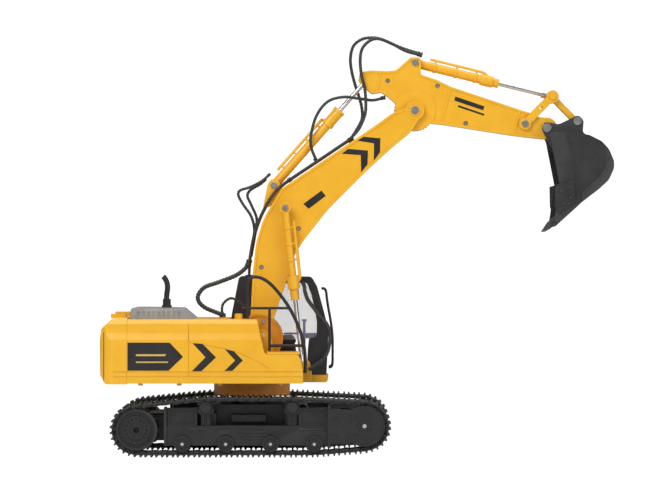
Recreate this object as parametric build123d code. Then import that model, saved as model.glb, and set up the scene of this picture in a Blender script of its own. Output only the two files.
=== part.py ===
from build123d import *
import math
import os
from bisect import bisect_right

# Radio-controlled tracked excavator model, one STEP file per piece.
# Millimetres, +X forward, +Y left, +Z up. Origin on the ground under the slew axis.
# Pivots and outlines are (x, z) pairs. A ram is a hydraulic cylinder.
# side is -1 on the right of the machine and +1 on the left.

# ---------------------------------------------------------------- driving dimensions
SIDES = (("right", -1), ("left", 1))
TRACK_Y = 66            # track centre to the machine centre plane
SHOE_W = 40             # track shoe width
SHOE_N = 56             # shoes per track
PIN_OUT = 2             # shoe pin line outside the wheel treads
SPROCKET = (-111.2, 26.6)
IDLER = (111.8, 30.4)
WHEEL_R = 20.6          # running radius of sprocket and idler
TREAD_R = WHEEL_R - 0.2
SKIDS = [(-43.7, 48.7), (41, 48.7)]
SKID_R = 5.5
ROLLERS = [(-66.5, 12.6), (-24, 12.6), (19.8, 12.6), (62.7, 12.6)]
ROLLER_R = 6.6
STUB_R = 3              # sprocket stub shaft
AXLE_R = 2
ROLLER_AXLE_R = 1.5

HOUSE_Y = 75            # half width of the house
FLOOR_Z, DECK_Z = 71.8, 134.5
HOUSE_REAR, HOUSE_SPLIT, HOUSE_FRONT = -147.6, -120.7, -21.6
SLOT_Y = 24             # half width of the slot for the boom foot
BOX_Y = 34.4            # inner side of the tool box, right of centre
WALL = 2
WEIGHT_Y = HOUSE_Y + 0.4        # half width of the counterweight
GROOVES_Z = (83.2, 78.3)        # skirt grooves
GROOVE_HALF = 0.35
HUB_R = 7               # slew hub
CAB_Y0, CAB_Y1 = 34.6, 77

BOOM_Y = 18             # half width of the boom
BOOM_WALL = 2.5
STICK_Y = 12            # half width of the stick
RAM_Y = 26              # boom rams off the centre plane
BUCKET_Y = 44           # half width of the bucket

BOOM_FOOT = (7, 114.6)
STICK_PIN = (162.5, 341.6)
RAM_FOOT = (50.2, 87.4)             # boom ram rod eye on the turret
RAM_EYE = (33.6, 244.5)             # boom ram barrel eye on the boom
STICK_RAM_BASE = (21.9, 267.1)
STICK_RAM_END = (116, 374.1)
BUCKET_RAM_BASE = (163, 389.4)
ROCKER_TOP = (299.8, 355.6)
ROCKER_FOOT = (272.4, 328.4)
BUCKET_PIN = (293.9, 324.1)
LINK_PIN = (324.1, 330.8)           # coupler link to bucket

FIT = 0.05              # radial running clearance of pins
MAIN_PIN_R = 3          # boom foot and stick pins
RAM_PIN_R = 2           # ram pins on boom and stick, and the rocker foot
LUG_R = 2.5             # pegs that carry the boom ram rods
BUCKET_PIN_R = 2.5
ROCKER_PIN_R = 2.2
LINK_PIN_R = 2.2

BOOM_SCREWS = [(46.7, 223.8), (9.8, 185.5), (11.8, 130.8)]
STICK_SCREWS = [(135.5, 371.3), (185.2, 366), (213.3, 328.9)]

GEAR_M = 1              # gear module
GEAR_N, PINION_N = 40, 10
GEAR_DIST = (GEAR_N + PINION_N) * GEAR_M / 2 + 0.2
MOTOR_SHAFT_R = 1.5

os.makedirs("parts", exist_ok=True)


# ---------------------------------------------------------------- helpers
def outline(corners):
    """Closed face from corners (x, z[, corner radius])."""
    count = len(corners)
    joints = []         # per corner: arc start, arc middle or None, arc end
    for i, corner in enumerate(corners):
        here = Vector(*corner[:2])
        before = Vector(*corners[i - 1][:2])
        after = Vector(*corners[(i + 1) % count][:2])
        radius = corner[2] if len(corner) > 2 else 0
        back = (before - here).normalized()
        ahead = (after - here).normalized()
        angle = math.acos(max(-1.0, min(1.0, back.dot(ahead))))
        if radius <= 0 or angle > math.pi - 0.01:
            joints.append((here, None, here))
            continue
        trim = radius / math.tan(angle / 2)
        limit = 0.48 * min((before - here).length, (after - here).length)
        if trim > limit:
            radius *= limit / trim
            trim = limit
        middle = here + (back + ahead).normalized() * (radius / math.sin(angle / 2) - radius)
        joints.append((here + back * trim, middle, here + ahead * trim))
    edges = []
    for i, (start, middle, end) in enumerate(joints):
        if middle is not None:
            edges.append(ThreePointArc(start, middle, end))
        following = joints[(i + 1) % count][0]
        if (following - end).length > 1e-5:
            edges.append(Line(end, following))
    return Face(Wire(edges))


def plate(shape, y0, y1):
    """Face or corner list in X-Z swept from y0 to y1."""
    if isinstance(shape, list):
        shape = outline(shape)
    plane = Plane(origin=(0, y1, 0), x_dir=(1, 0, 0), z_dir=(0, -1, 0))
    return extrude(plane * shape, amount=y1 - y0, dir=(0, -1, 0))


def disc(centre, r, y0, y1):
    """Cylinder along Y."""
    plane = Plane(origin=(centre[0], y0, centre[1]), z_dir=(0, 1, 0))
    return Part() + Solid.make_cylinder(r, y1 - y0, plane)


def post(x, y, r, z0, z1):
    """Cylinder along Z."""
    return Part() + Solid.make_cylinder(r, z1 - z0, Plane(origin=(x, y, z0), z_dir=(0, 0, 1)))


def block(x0, x1, y0, y1, z0, z1):
    return Pos((x0 + x1) / 2, (y0 + y1) / 2, (z0 + z1) / 2) * Box(x1 - x0, y1 - y0, z1 - z0)


def bar(start, end, r, y=0):
    """Round bar between two (x, z) points at depth y."""
    start = Vector(start[0], y, start[1])
    run = Vector(end[0], y, end[1]) - start
    return Part() + Solid.make_cylinder(r, run.length, Plane(origin=start, z_dir=run.normalized()))


def tube(points, r, y=None):
    """Round tube on a spline through (x, z) points at depth y, or (x, y, z) points."""
    path = Spline([Vector(*p) if y is None else Vector(p[0], y, p[1]) for p in points])
    return sweep(Plane(origin=path @ 0, z_dir=path % 0) * Circle(r), path=path)


def prism_x(points, x0, x1):
    """Outline of (y, z) points swept from x0 to x1."""
    face = Face(Wire.make_polygon([Vector(x0, y, z) for y, z in points], close=True))
    return extrude(face, amount=x1 - x0, dir=(1, 0, 0))


def side_span(side, centre=0):
    """Function giving the ordered Y range between two distances outward of centre."""
    return lambda a, b: sorted((centre + side * a, centre + side * b))


def polar(centre, r, angle):
    return (centre[0] + r * math.cos(angle), centre[1] + r * math.sin(angle))


def angles(count, start=0):
    """Evenly spaced angles round a full circle."""
    return [start + 2 * math.pi * i / count for i in range(count)]


def along(start, end, dist, off=0):
    """Point at dist from start towards end, and off to the left of that line."""
    length = math.hypot(end[0] - start[0], end[1] - start[1])
    ux, uz = (end[0] - start[0]) / length, (end[1] - start[1]) / length
    return (start[0] + ux * dist - uz * off, start[1] + uz * dist + ux * off)


def strip(start, end, half):
    """Corners of a straight strip of half width half."""
    length = math.hypot(end[0] - start[0], end[1] - start[1])
    return [along(start, end, 0, half), along(start, end, length, half),
            along(start, end, length, -half), along(start, end, 0, -half)]


def link_bar(start, end, start_r, end_r, width, y0, y1):
    """Flat link: eye discs joined by a straight bar."""
    link = plate(strip(start, end, width / 2), y0, y1)
    return link + disc(start, start_r, y0, y1) + disc(end, end_r, y0, y1)


def turned(start, end, steps, y=0):
    """Turned body on the line start->end; steps are (from, to, radius)."""
    body = Part()
    for d0, d1, r in steps:
        body += bar(along(start, end, d0), along(start, end, d1), r, y)
    return body


def gear(count, centre, start, end, phase, bore, vertical=False):
    """Spur gear along Y, or along Z when vertical."""
    pitch_r = count * GEAR_M / 2
    tip, root = pitch_r + 0.65, pitch_r - 1
    points = []
    for a in angles(count, phase):
        for r, half in ((root, -0.95), (tip, -0.28), (tip, 0.28), (root, 0.95)):
            points.append(Vector(*polar((0, 0), r, a + half / r)))
    face = Pos(*centre, 0) * Face(Wire.make_polygon(points, close=True))
    if vertical:
        blank = extrude(Pos(0, 0, start) * face, amount=end - start, dir=(0, 0, 1))
        return blank - post(*centre, bore, start - 1, end + 1)
    return plate(face, start, end) - disc(centre, bore, start - 1, end + 1)


def save(name, *pieces):
    found = [s for piece in pieces for s in piece.solids()]
    shape = found[0] if len(found) == 1 else Compound(children=found)
    export_step(shape, "parts/" + name + ".step")


def save_pair(name, build):
    """Save the right and left versions of a piece."""
    for side_name, side in SIDES:
        save(name + "_" + side_name, build(side))


# ================================================================ undercarriage
# ---- path of the shoe pins: a taut belt round the wheels, rollers and skids
def convex_hull(circles):
    """Convex outline round (centre, radius) circles, as points."""
    points = sorted(polar(centre, r, a) for centre, r in circles for a in angles(720))

    def half(sequence):
        chain = []
        for p in sequence:
            while len(chain) > 1:
                a, b = chain[-2:]
                if (b[0] - a[0]) * (p[1] - a[1]) - (b[1] - a[1]) * (p[0] - a[0]) > 0:
                    break
                chain.pop()
            chain.append(p)
        return chain
    return half(points)[:-1] + half(points[::-1])[:-1]


belt = convex_hull([(SPROCKET, WHEEL_R + PIN_OUT), (IDLER, WHEEL_R + PIN_OUT)]
                   + [(c, SKID_R + PIN_OUT) for c in SKIDS]
                   + [(c, ROLLER_R + PIN_OUT) for c in ROLLERS])
belt_dist = [0.0]       # distance round the belt at each point
for i, p in enumerate(belt):
    belt_dist.append(belt_dist[-1] + math.dist(p, belt[(i + 1) % len(belt)]))


def belt_at(dist):
    i = bisect_right(belt_dist, dist) - 1
    p, q = belt[i], belt[(i + 1) % len(belt)]
    t = (dist - belt_dist[i]) / (belt_dist[i + 1] - belt_dist[i])
    return (p[0] + (q[0] - p[0]) * t, p[1] + (q[1] - p[1]) * t)


def shoe(pitch, y):
    """One shoe, pins at x = +-pitch/2 on the x axis, ground side at -z."""
    half = pitch / 2
    width = (y - SHOE_W / 2, y + SHOE_W / 2)
    part = block(-half + 0.75, half - 0.75, *width, -2, -0.9)
    for x in (-2.9, 2.9):
        part += plate([(x - 1.1, -1.9), (x + 1.1, -1.9), (x + 0.7, -4), (x - 0.7, -4)], *width)
    for side in (-1, 1):
        span = side_span(side, y)
        rear, front = span(6, 9), span(9.25, 12.25)
        part += (plate([(-half, 1.9), (half - 2.6, 1.2), (half - 2.6, -1.2), (-half, -1.9)], *rear)
                 + disc((-half, 0), 1.9, *rear))
        part += (plate([(half, 1.9), (-half + 2.6, 1.2), (-half + 2.6, -1.2), (half, -1.9)], *front)
                 + disc((half, 0), 1.9, *front))
        part += disc((half, 0), 0.7, *span(5.6, 9.25))
    for side in (-1, 1):
        part -= disc((-half, 0), 0.85, *side_span(side, y)(5.9, 9.1))
    return part


pins = [belt_at(belt_dist[-1] * i / SHOE_N) for i in range(SHOE_N)]
for side_name, side in SIDES:
    shoe_kinds = {}     # one shoe per pin spacing, to 0.01 mm
    shoes = []
    for i, p in enumerate(pins):
        q = pins[(i + 1) % SHOE_N]
        spacing = math.dist(p, q)
        kind = round(spacing, 2)
        if kind not in shoe_kinds:
            shoe_kinds[kind] = shoe(spacing, side * TRACK_Y)
        tilt = math.degrees(math.atan2(q[1] - p[1], q[0] - p[0]))
        place = Pos((p[0] + q[0]) / 2, 0, (p[1] + q[1]) / 2)
        shoes.append(place * Rot(0, -tilt, 0) * shoe_kinds[kind])
    save("track_links_" + side_name, *shoes)


# ---- wheels; spans run from the track centre, + outward
def track_span(side):
    return side_span(side, side * TRACK_Y)


def drive_sprocket(side):
    """Sprocket with its stub shaft into the gear case."""
    span = track_span(side)
    wheel = disc(SPROCKET, TREAD_R, *span(-12.6, -5.2))
    wheel += disc(SPROCKET, WHEEL_R - 2.2, *span(-5.2, 5.2))
    wheel += disc(SPROCKET, TREAD_R, *span(5.2, 14.2))
    # tooth corners: radius, half angle
    tooth = [(17.5, -0.11), (22.3, -0.045), (22.3, 0.045), (17.5, 0.11)]
    wheel += [plate([polar(SPROCKET, r, a + w) for r, w in tooth], *span(-2.2, 2.2))
              for a in angles(12)]
    # stepped hub on the outer face with a ring of holes
    wheel -= disc(SPROCKET, 17.6, *span(12.4, 15)) - disc(SPROCKET, 13.8, *span(12, 16))
    wheel += disc(SPROCKET, 13.8, *span(12, 15.4))
    wheel -= disc(SPROCKET, 12.6, *span(14.6, 16))
    wheel += disc(SPROCKET, 8.6, *span(12, 15.6)) - disc(SPROCKET, 7.4, *span(14.8, 16))
    wheel += disc(SPROCKET, 4.8, *span(12, 15.8))
    wheel -= [disc(polar(SPROCKET, 10.6, a), 1, *span(13.4, 16)) for a in angles(16)]
    wheel -= disc(SPROCKET, 3.1, *span(9, 16.5))
    wheel += disc(SPROCKET, STUB_R, *span(-28, -12))
    return wheel


def idler_wheel(side):
    span = track_span(side)
    wheel = disc(IDLER, TREAD_R, *span(-12.6, -5.2))
    wheel += disc(IDLER, WHEEL_R - 2.6, *span(-5.2, 5.2))
    wheel += disc(IDLER, TREAD_R, *span(5.2, 12.6))
    wheel -= disc(IDLER, 15, *span(9.5, 13)) - disc(IDLER, 6, *span(9, 13.5))
    wheel -= disc(IDLER, 15, *span(-13, -9.5)) - disc(IDLER, 6, *span(-13.5, -9))
    wheel -= disc(IDLER, AXLE_R + FIT, *span(-14, 14))
    return wheel


def track_roller(side, centre):
    span = track_span(side)
    roller = disc(centre, 2.9, *span(-12, 12))
    for end in (-1, 1):
        roller += disc(centre, ROLLER_R - 0.1, *span(*sorted((end * 9, end * 12.5))))
        roller += disc(centre, 7.9, *span(*sorted((end * 12.5, end * 15))))
    roller -= disc(centre, 6.6, *span(14.3, 15.5)) - disc(centre, 3.4, *span(14, 16))
    # spokes: radius, half width
    spoke = [(3.2, -0.35), (6.8, -0.35), (6.8, 0.35), (3.2, 0.35)]
    for a in angles(10):
        roller += plate([polar(centre, r, a + w / r) for r, w in spoke], *span(14.2, 15))
    roller -= disc(centre, ROLLER_AXLE_R + FIT, *span(-16, 16))
    return roller


save_pair("drive_sprocket", drive_sprocket)
save_pair("idler_wheel", idler_wheel)
for side_name, side in SIDES:
    for k, centre in enumerate(ROLLERS, 1):
        save(f"track_roller_{side_name}_{k}", track_roller(side, centre))

axles = []
for side in (-1, 1):
    span = track_span(side)
    axles.append(disc(IDLER, AXLE_R, *span(-15.5, 15.9)))
    axles += [disc(c, ROLLER_AXLE_R, *span(-15, 14.6)) for c in ROLLERS]
save("wheel_axles", *axles)


def side_frame(side):
    span = track_span(side)
    frame = plate([(-83.3, 10.9, 2), (-83.3, 30.5), (77, 30.5), (77, 10.9, 2)], *span(-8, 8))
    for c in ROLLERS:
        frame += disc(c, 5.2, *span(-8, 8))
    frame -= block(-80.3, 74, *span(-5, 5), 17, 31)
    # upper boxes fore and aft, and the rear flange
    frame += (block(-81.4, -52.1, *span(-6.5, 6.5), 30.3, 47.6)
              - block(-79, -54.5, *span(4.7, 7), 32.5, 45.2))
    frame += (block(47.3, 76, *span(-6.5, 6.5), 30.3, 47.6)
              - block(50, 73.5, *span(5, 7), 33, 45.2))
    frame += block(-84.6, -82, *span(-9.5, 9.5), 10.9, 48.5)
    # carrier skids on posts
    for c in SKIDS:
        x = c[0]
        frame += block(x - 4.6, x + 4.6, *span(-5.5, 5.5), 30, 46)
        frame += plate([(x - 8.2, 44), (x - 6.6, 52.4, 2), (x + 6.6, 52.4, 2), (x + 8.2, 44),
                        (x + 5, 41), (x - 5, 41)], *span(-6.8, 6.8))
        frame += disc(c, SKID_R - 0.15, *span(-13, 13))
        frame += (block(x - 3.2, x - 1.6, *span(5, 7.2), 31, 44)
                  + block(x + 1.6, x + 3.2, *span(5, 7.2), 31, 44))
    # raised bars on the outer face: x0, x1, outer end, z0, z1
    for x0, x1, out, z0, z1 in (
            (-10, 16, 8.8, 23.6, 25), (-9, 15, 8.8, 20.6, 22), (-6, 13, 8.8, 17.6, 19),
            (48, 72, 9, 26, 28.2), (-62, -40, 8.8, 26.6, 28.4), (-32, -20, 8.6, 21.5, 26)):
        frame += block(x0, x1, *span(7, out), z0, z1)
    for x in (-66, 8, 12.5):
        frame += disc((x, 27.4), 1.1, *span(7, 9.1))
    # front flange, idler block and covers
    frame += block(76, 78.8, *span(-14.5, 14.5), 8.9, 50.6)
    frame += plate([(78, 13), (78, 46.4), (88.6, 46.4), (88.6, 13)], *span(-13.2, 13.2))
    for cover in (span(13, 15.2), span(-15.2, -13)):
        frame += plate([(78, 12.8), (78, 46.9), (96, 46.9, 3), (112, 40), (112, 20),
                        (96, 12.8, 3)], *cover)
        frame += disc(IDLER, 20, *cover)
    frame -= plate([(IDLER[0] + dx, IDLER[1] + dz, 4.8)
                    for dx, dz in ((-7.6, -5), (-7.6, 5), (7.6, 5), (7.6, -5))], *span(14.2, 16))
    frame += (disc(IDLER, 20, *span(15, 15.7)) - disc(IDLER, 18.9, *span(14.5, 16.2))
              - block(80, 96.5, *span(14.9, 16.5), 8, 52))
    for c in ((84.5, 38), (101.6, 38.2), (84.5, 22.5), (101.4, 22.5)):
        frame += disc(c, 1.9, *span(14.5, 16)) - disc(c, 1, *span(15.3, 16.5))
    # final drive arm on the inner side
    arm = plate([(-84, 15), (-84, 40), (-100, 40, 4), (-112, 38), (-112, 15.2)],
                *span(-17.6, -13.2)) + disc(SPROCKET, 11.8, *span(-17.6, -13.2))
    arm += block(-84.6, -76, *span(-17.6, -6), 14, 40)
    frame += arm - disc(SPROCKET, STUB_R + FIT, *span(-19, -12))
    # running holes
    frame -= [disc(c, 2.9 + FIT, *span(-9.5, 9.5)) for c in ROLLERS]
    frame -= disc(IDLER, AXLE_R, *span(-16.5, 16.5))
    return frame


save_pair("side_frame", side_frame)

# ---- chassis: hollow body, side feet, slew hub and the rear tongue for the gear cases
chassis = plate([(-54, 24, 4), (-60, 34, 4), (-54, 50, 4), (54, 50, 4), (60, 34, 4),
                 (54, 24, 4)], -42, 42)
chassis -= plate([(-50, 20), (-56, 34), (-50, 46.5), (50, 46.5), (56, 34), (50, 20)], -39, 39)
for x in (-48, 34):
    chassis += block(x, x + 14, -57.9, -41, 26, 42) + block(x, x + 14, 41, 57.9, 26, 42)
chassis += block(-19, 15, -52, -41, 33.4, 40.2) + block(-19, 15, 41, 52, 33.4, 40.2)
chassis += post(0, 0, 32, 49, 53)
chassis += post(0, 0, HUB_R, 49, 74.5) + post(0, 0, 10, 52, 56)
chassis -= post(0, 0, 4, 45, 75)
chassis += block(-101, -52, -44, 44, 38, 41.5)
save("chassis", chassis)

# ---- travel gear motors
motors = []
for side in (-1, 1):
    span = side_span(side)
    motor = plate([(-119, 17, 3), (-119, 37.8, 3), (-78, 37.8, 2), (-78, 17, 2)], *span(30, 47.9))
    motor += disc((-88, 27.4), 8, *span(8, 30.5)) + disc((-88, 27.4), 2.5, *span(6, 8.5))
    motor -= disc(SPROCKET, STUB_R + FIT, *span(37.5, 49))
    motors.append(motor)
save("travel_gearmotors", *motors)

# ---- slew ring gear on the chassis and the pinion behind it
SLEW_ANGLE = math.pi    # direction from the slew axis to the pinion
PINION_X = GEAR_DIST * math.cos(SLEW_ANGLE)
RING_BORE = 10.5
ring = gear(GEAR_N, (0, 0), 56, 62, SLEW_ANGLE + math.pi / GEAR_N, RING_BORE, vertical=True)
ring += post(0, 0, 18, 53, 56.2) - post(0, 0, RING_BORE, 52, 63)
ring -= [post(*polar((0, 0), 14.5, a), 1.6, 58, 63) for a in angles(6)]
save("slew_ring_gear", ring)
save("slew_pinion",
     gear(PINION_N, (PINION_X, 0), 56.5, 61.5, 0, MOTOR_SHAFT_R + FIT, vertical=True))

# ================================================================ turret
# ---- base: floor plate, nose, cab platform, slew skirt, boom cheeks and ram lugs
base = (block(-118.4, 10, -72.8, 72.8, FLOOR_Z, 75.8)
        + block(9, 49, -72.8, -36.6, FLOOR_Z, 75.8))
base += block(-20, 60, -19, 19, FLOOR_Z, 77)
base += (plate([(-21.4, 69), (-21.4, 76.6), (76.5, 76.6, 1), (75.5, 69, 3)], 34.5, CAB_Y1)
         + block(9, 30, 18, 36, FLOOR_Z, 75.8))
base += post(0, 0, 38, 58, 72) - post(0, 0, 36, 57, 71)
for side in (-1, 1):
    span = side_span(side)
    base += plate([(-20, 75), (-14, 112, 4), (-4, 124.5, 8), (14, 124.5, 8), (21, 112, 4),
                   (27, 75)], *span(20, 23))
    base += (plate([(40, 76), (42.5, 92, 4), (57.5, 92, 4), (60, 76)], *span(14, 18.8))
             + disc(RAM_FOOT, 6.2, *span(14, 18.8)))
    base += disc(RAM_FOOT, LUG_R, *span(18, 30.2))
    base += disc(RAM_FOOT, 4.2, *span(29.4, 30.8))
base -= disc(BOOM_FOOT, MAIN_PIN_R + FIT, -24, 24)
base -= post(0, 0, HUB_R + FIT, 70, 80)
# sleeves round the pinion shaft and the slew hub
base += (post(PINION_X, 0, 4, 62.6, 72) + post(0, 0, 9.5, 63, 72)
         - post(0, 0, HUB_R + FIT, 60, 80))
base -= post(PINION_X, 0, 1.7, 60, 80)
# power switch slot and the bosses under the floor
base -= block(-104, -90, -2.5, 2.5, 70, 77)
for x, y in [(x, y) for x in (-108, -70, -30) for y in (-66, 60)] + [(30, -66)]:
    base += post(x, y, 2.4, 69.6, 72.2)
save("turret_base", base)

# ---- power switch slider
save("power_switch",
     block(-103.8, -97, -2.4, 2.4, 71, 75.5) + block(-102, -98.8, -1.6, 1.6, 69.4, 71.2))


def edge_cut(side, half_width, profile, x0, x1):
    """Waste outside one upper edge; profile rows are (inset from half_width, z)."""
    return prism_x([(side * (half_width - inset), z) for inset, z in profile], x0, x1)


# ---- house shell: main body, right front and tool box
house = block(HOUSE_SPLIT, HOUSE_FRONT, -HOUSE_Y, HOUSE_Y, FLOOR_Z, DECK_Z)
house += plate([(-22, FLOOR_Z), (-22, DECK_Z), (6.6, DECK_Z, 3), (9.6, 119, 4),
                (13.8, 101.2, 1.5), (15.6, 101.2, 0.6), (16.2, 100.2), (16.2, FLOOR_Z)],
               -HOUSE_Y, -SLOT_Y)
house += plate([(16, FLOOR_Z), (16, 100.2), (46.4, 100.2, 3), (49.6, 94, 4), (51.6, 83, 8),
                (51.6, FLOOR_Z)], -HOUSE_Y, -BOX_Y)
cavity = block(HOUSE_SPLIT - 1, HOUSE_FRONT - WALL, -HOUSE_Y + WALL, HOUSE_Y - WALL,
               FLOOR_Z - 1, DECK_Z - WALL)
cavity += plate([(-24, FLOOR_Z - 1), (-24, DECK_Z - WALL), (4.8, DECK_Z - WALL), (7.6, 119),
                 (11.6, 99), (14.8, 98.2), (15.2, FLOOR_Z - 1)], -HOUSE_Y + WALL, -SLOT_Y - WALL)
cavity += plate([(15, FLOOR_Z - 1), (15, 98.2), (45.4, 98.2), (47.6, 93), (49.5, 83),
                 (49.5, FLOOR_Z - 1)], -HOUSE_Y + WALL, -BOX_Y - WALL)
# sides set back a little above the belt line, roof edges rounded off
HOUSE_EDGE = [(-1, 114.6), (0, 114.6), (1.6, 121), (1.6, 130.4), (3, 133.2), (5.4, DECK_Z),
              (5.4, DECK_Z + 2), (-1, DECK_Z + 2)]
house = (house - edge_cut(-1, HOUSE_Y, HOUSE_EDGE, HOUSE_SPLIT - 1, HOUSE_FRONT + 40)
         - edge_cut(1, HOUSE_Y, HOUSE_EDGE, HOUSE_SPLIT - 1, HOUSE_FRONT + 1))
# the cavity keeps clear of the set-back sides
house -= (cavity - block(-125, 60, -HOUSE_Y, -HOUSE_Y + WALL + 1.8, 112.6, 140)
          - block(-125, 60, HOUSE_Y - WALL - 1.8, HOUSE_Y, 112.6, 140))
# room for the floor plate and the slew gear motor
house -= block(-118.8, 10.2, -73, 73, 70, 75.9)
house -= block(-26, -18, -16, 16, 70, 92)
house -= base
# skirt grooves and panel seams
for z in GROOVES_Z:
    height = (z - GROOVE_HALF, z + GROOVE_HALF)
    house -= block(HOUSE_SPLIT - 1, 60, -HOUSE_Y - 1, -HOUSE_Y + 0.5, *height)
    house -= block(HOUSE_SPLIT - 1, HOUSE_FRONT + 1, HOUSE_Y - 0.5, HOUSE_Y + 1, *height)
for side in (-1, 1):
    span = side_span(side)
    house -= block(-60.8, -60.2, *span(HOUSE_Y - 0.5, HOUSE_Y + 1), 79, 115)
    house -= block(-60.8, -60.2, *span(HOUSE_Y - 2.2, HOUSE_Y + 1), 115, 131)
# swept crease on the right side panel
crease = [(-60.5, 112.1), (-24.1, 105.9), (-12.8, 102.3), (-1.4, 97.4), (9.1, 92.5),
          (16.3, 87.6), (19.2, 84.4)]
for p, q in zip(crease, crease[1:]):
    house -= plate(strip(p, q, GROOVE_HALF), -HOUSE_Y - 1, -HOUSE_Y + 0.45)
# fuel filler cap
house += post(-12, -55, 3.9, DECK_Z - 1, 139.4) + post(-12, -55, 3.2, 139, 140)
# lamp housing on the sloping front
house += bar((8.6, 117), (11.9, 117.8), 2.6, y=-42)
# hose bulkhead on the deck behind the boom
house += block(-30.5, -22.5, -16, 8, DECK_Z - 0.5, DECK_Z + 1)
save("house_shell", house)

# ---- step plate on the tool box, with a toothed top
step = [(16.4, 100.3), (16.4, 103)]
for i in range(13):
    x = 17 + i * 2.3
    step += [(x + 0.3, 103), (x + 0.7, 102.3), (x + 1.9, 102.3), (x + 2.2, 103)]
step += [(47.4, 103), (48.6, 101.4), (48.2, 100.3)]
save("step_plate", plate(step, -73.8, -35))

# ---- counterweight
weight_front = HOUSE_SPLIT - 0.15
weight = plate([(weight_front, 71), (weight_front, 136.1, 2), (-134.8, 136.1, 4),
                (-146.4, 125.2, 4), (HOUSE_REAR - 0.6, 112, 10), (HOUSE_REAR, 80, 6),
                (-142.5, 71, 4)], -WEIGHT_Y, WEIGHT_Y)
WEIGHT_EDGE = [(-1, 114.6), (0.4, 114.6), (2, 121), (2, 130), (4, 134), (7, 136.1), (7, 138),
               (-1, 138)]
for side in (-1, 1):
    # rounded rear corner in plan: rows are (x, inset from the side)
    corner = [Vector(x, side * (WEIGHT_Y - inset), 0) for x, inset in
              ((-134.2, 0), (-134.2, -2), (-152, -2), (-152, 14), (-148.2, 14))]
    edges = [Line(p, q) for p, q in zip(corner, corner[1:])]
    middle = Vector(-144.1, side * (WEIGHT_Y - 4.1), 0)
    edges.append(ThreePointArc(corner[-1], middle, corner[0]))
    weight -= extrude(Pos(0, 0, 60) * Face(Wire(edges)), amount=90, dir=(0, 0, 1))
    weight -= edge_cut(side, WEIGHT_Y, WEIGHT_EDGE, -155, -115)
weight -= block(-144, HOUSE_SPLIT + 1, -HOUSE_Y + 3, HOUSE_Y - 3, 69, 122)
for z in GROOVES_Z:
    for side in (-1, 1):
        weight -= block(-134, HOUSE_SPLIT + 1, *side_span(side)(HOUSE_Y - 0.1, HOUSE_Y + 2),
                        z - GROOVE_HALF, z + GROOVE_HALF)
# lifting lugs on top and a recessed rear grille
weight += (block(-138.5, -123.5, 30, 44, 135.5, 140.4)
           + block(-138.5, -123.5, -44, -30, 135.5, 139.4))
weight -= [block(-150, -146.6, -34, 34, z, z + 1.6) for z in (90, 94, 98, 102, 106)]
save("counterweight", weight)

# ---- engine vent cover: slots in the top, louvres in the sides
cover = plate([(-118.6, DECK_Z + 0.01), (-118.6, 144.2, 2), (-116.8, 145.4, 1),
               (-68.4, 144.8, 5), (-56, DECK_Z + 0.01)], -50, 50)
cover -= plate([(-116.6, DECK_Z - 1), (-116.6, 143.2), (-69, 142.8), (-59.5, DECK_Z - 1)],
               -48, 48)
for i in range(16):
    x = -110 + i * 2.45
    cover -= block(x, x + 1.25, -44, -6, 143.9, 147)
    cover -= block(x, x + 1.25, 20, 44, 143.9, 147)
for side in (-1, 1):
    span = side_span(side)
    cover -= [block(-112 + i * 5, -109.6 + i * 5, *span(49.2, 51), 137, 141.8) for i in range(9)]
save("engine_vent_cover", cover)

# ---- exhaust stack
EXHAUST_X, EXHAUST_Y = -85.5, 7
stack = (post(EXHAUST_X, EXHAUST_Y, 5, 145.08, 147.4)
         + post(EXHAUST_X, EXHAUST_Y, 4, 147, 153.6))
stack += tube([(EXHAUST_X, 152), (-85.3, 160), (-84.8, 166.5), (-86, 171.5), (-89.2, 176.2)],
              2.7, EXHAUST_Y)
save("exhaust_stack", stack)

# ---- battery pack: three cells with a block joining them
battery = Part()
for i in range(3):
    battery += block(-112 + 17 * i, -96.4 + 17 * i, -30, 34, 76.2, 92)
battery += block(-112, -62.4, -28, 32, 77.5, 90.5)
save("battery_pack", battery)

# ---- circuit board on four legs; components are x, y, length, width, height
board = block(-112, -62, -40, 44, 97, 98.6)
for x, y, length, width, height in ((-100, -20, 12, 12, 3), (-80, 10, 10, 16, 2.5),
                                    (-95, 20, 8, 8, 8), (-72, -25, 6, 14, 5)):
    board += block(x - length / 2, x + length / 2, y - width / 2, y + width / 2,
                   98.4, 98.6 + height)
for x, y in ((-109, -37), (-65, -37), (-109, 41), (-65, 41)):
    board += post(x, y, 1.6, 75.8, 97.2)
save("circuit_board", board)

# ---- turret gear motors: slew, and boom
slew_motor = (block(-38, -14, -12, 12, 77.2, 88.6) + post(PINION_X, 0, MOTOR_SHAFT_R, 56.6, 78)
              + bar((-60, 83), (-37, 83), 5))
boom_motor = (block(-52, -21, -19, 19, 94, 116) + disc((-37, 105), 8, 18, 42)
              + disc((-37, 105), 8, -42, -18))
boom_motor -= disc(BOOM_FOOT, 25, -20, 20)
boom_motor -= block(-24, -18, -25, 25, 90, 120)
save("turret_gearmotors", slew_motor, boom_motor)

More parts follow.
